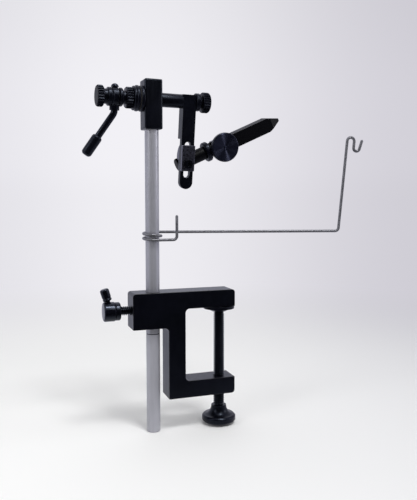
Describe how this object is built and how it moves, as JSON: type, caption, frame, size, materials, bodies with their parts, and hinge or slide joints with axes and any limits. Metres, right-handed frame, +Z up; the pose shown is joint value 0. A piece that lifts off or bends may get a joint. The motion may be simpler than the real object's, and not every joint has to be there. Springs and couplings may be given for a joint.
{
  "type": "fly tying vise",
  "caption": "Rotary fly tying vise on a C-clamp: black head and jaws on a grey steel post, with crank, drag nut, sliding jaw mount and a bent-wire bobbin cradle.",
  "frame": {"origin": "centre of the post's bottom end, on the surface that the vise stands on", "axes": "+Z up along the post, +X from the post towards the clamp's throat and the jaws, -Y towards the front, the side of the jaw knob"},
  "size_m": [0.1966, 0.0486, 0.2435],
  "materials": {
    "black_anodised": "satin black anodised",
    "black_oxide": "black oxide, satin",
    "post_steel": "fine turned, satin",
    "wire_steel": "drawn wire, satin",
    "spring_steel": "plain spring wire",
    "slider_grey": "blasted, grey anodised",
    "brass": "plain",
    "friction_pad": "matte"
  },
  "bodies": {
    "clamp": {"clamp_frame": "black_anodised"},
    "clamp_pad": {"swivel_pad": "black_oxide"},
    "clamp_screw_body": {"clamp_screw": "black_oxide", "hand_knob": "black_anodised"},
    "lock_tip_body": {"lock_tip": "brass"},
    "lock_screw_body": {"lock_screw": "black_oxide", "lock_lever": "black_oxide"},
    "post": {"post_lower": "post_steel", "post_upper": "post_steel", "post_joint_stud": "post_steel"},
    "cradle": {"bobbin_cradle": "wire_steel"},
    "head": {"head_block": "black_anodised", "head_set_screw": "black_oxide", "shaft_bush_left": "brass", "shaft_bush_right": "brass", "brake_flange": "black_anodised", "friction_washer": "friction_pad"},
    "rotary": {"rotary_shaft": "black_oxide", "crank_hub": "black_anodised", "crank_set_screw": "black_oxide", "crank_rod": "black_oxide", "rotary_arm": "black_anodised"},
    "drag_disc": {"pressure_disc": "black_anodised"},
    "drag_nut_body": {"drag_nut": "black_anodised"},
    "crank_nut_body": {"crank_nut": "black_anodised"},
    "grip": {"crank_grip": "black_anodised"},
    "arm_nut_body": {"arm_nut": "black_anodised"},
    "slider": {"slider_plate": "slider_grey", "tilt_screw": "black_oxide"},
    "jaw_unit": {"saddle_block": "slider_grey", "jaw_shank": "black_oxide", "jaw_collar": "black_anodised", "rear_jaw": "black_oxide", "jaw_pin": "black_oxide", "jaw_spring": "spring_steel"},
    "moving_jaw": {"front_jaw": "black_oxide"},
    "knob_washer": {"jaw_washer": "black_oxide"},
    "jaw_knob_body": {"jaw_knob": "black_anodised"}
  },
  "joints": [
    {"name": "pad_travel", "type": "slide", "parent": "clamp", "child": "clamp_pad", "axis": [0, 0, -1], "range_m": [0, 0.045]},
    {"name": "clamp_screw_turn", "type": "hinge", "parent": "clamp_pad", "child": "clamp_screw_body", "pos_m": [0.0491, 0, 0.01], "axis": [0, 0, -1], "range_deg": [0, 11489.37]},
    {"name": "lock_tip_travel", "type": "slide", "parent": "clamp", "child": "lock_tip_body", "axis": [-1, 0, 0], "range_m": [0, 0.006]},
    {"name": "lock_screw_turn", "type": "hinge", "parent": "lock_tip_body", "child": "lock_screw_body", "pos_m": [-0.03, 0, 0.0867], "axis": [-1, 0, 0], "range_deg": [0, 1700.79]},
    {"name": "post_height", "type": "slide", "parent": "clamp", "child": "post", "axis": [0, 0, 1], "range_m": [-0.03, 0.07]},
    {"name": "cradle_swing", "type": "hinge", "parent": "post", "child": "cradle", "pos_m": [0, 0, 0.137], "axis": [0, 0, 1], "continuous": true},
    {"name": "head_swing", "type": "hinge", "parent": "post", "child": "head", "pos_m": [0, 0, 0.2306], "axis": [0, 0, 1], "continuous": true},
    {"name": "rotary_spin", "type": "hinge", "parent": "head", "child": "rotary", "pos_m": [0, 0, 0.2306], "axis": [0.9986, 0.0523, 0], "continuous": true},
    {"name": "drag_disc_travel", "type": "slide", "parent": "rotary", "child": "drag_disc", "axis": [-0.9986, -0.0523, 0], "range_m": [0, 0.0004166]},
    {"name": "drag_nut_turn", "type": "hinge", "parent": "drag_disc", "child": "drag_nut_body", "pos_m": [-0.01343, -0.0007, 0.2306], "axis": [-0.9986, -0.0523, 0], "range_deg": [0, 150]},
    {"name": "crank_nut_turn", "type": "hinge", "parent": "rotary", "child": "crank_nut_body", "pos_m": [-0.02746, -0.00144, 0.2306], "axis": [-0.9986, -0.0523, 0], "range_deg": [0, 90]},
    {"name": "crank_grip_spin", "type": "hinge", "parent": "rotary", "child": "grip", "pos_m": [-0.03944, 0.00255, 0.19977], "axis": [-0.562, 0.0935, -0.8219], "continuous": true},
    {"name": "arm_nut_turn", "type": "hinge", "parent": "rotary", "child": "arm_nut_body", "pos_m": [0.03134, 0.00164, 0.2306], "axis": [0.9986, 0.0523, 0], "range_deg": [0, 90]},
    {"name": "slider_travel", "type": "slide", "parent": "rotary", "child": "slider", "axis": [0.0077, -0.1476, 0.989], "range_m": [-0.0075, 0.002]},
    {"name": "jaw_tilt", "type": "hinge", "parent": "slider", "child": "jaw_unit", "pos_m": [0.02594, 0.01263, 0.18921], "axis": [0.0518, -0.9877, -0.1478], "range_deg": [-25, 20]},
    {"name": "knob_washer_travel", "type": "slide", "parent": "jaw_unit", "child": "knob_washer", "axis": [0.0518, -0.9877, -0.1478], "range_m": [0, 0.0004]},
    {"name": "jaw_knob_turn", "type": "hinge", "parent": "knob_washer", "child": "jaw_knob_body", "pos_m": [0.05451, 0.0083, 0.20113], "axis": [0.0518, -0.9877, -0.1478], "range_deg": [0, 180]},
    {"name": "moving_jaw_swing", "type": "hinge", "parent": "jaw_unit", "child": "moving_jaw", "pos_m": [0.0493, 0.01022, 0.19961], "axis": [0.415, 0.1559, -0.8964], "range_deg": [0, 2.6]}
  ],
  "couplings": [
    {"joint": "clamp_screw_turn", "follows": "pad_travel", "rad_per_m": 4456.2},
    {"joint": "lock_screw_turn", "follows": "lock_tip_travel", "rad_per_m": 4947.4},
    {"joint": "drag_nut_turn", "follows": "drag_disc_travel", "rad_per_m": 6283.2},
    {"joint": "jaw_knob_turn", "follows": "knob_washer_travel", "rad_per_m": 7854},
    {"joint": "moving_jaw_swing", "follows": "knob_washer_travel", "rad_per_m": 104.26}
  ]
}
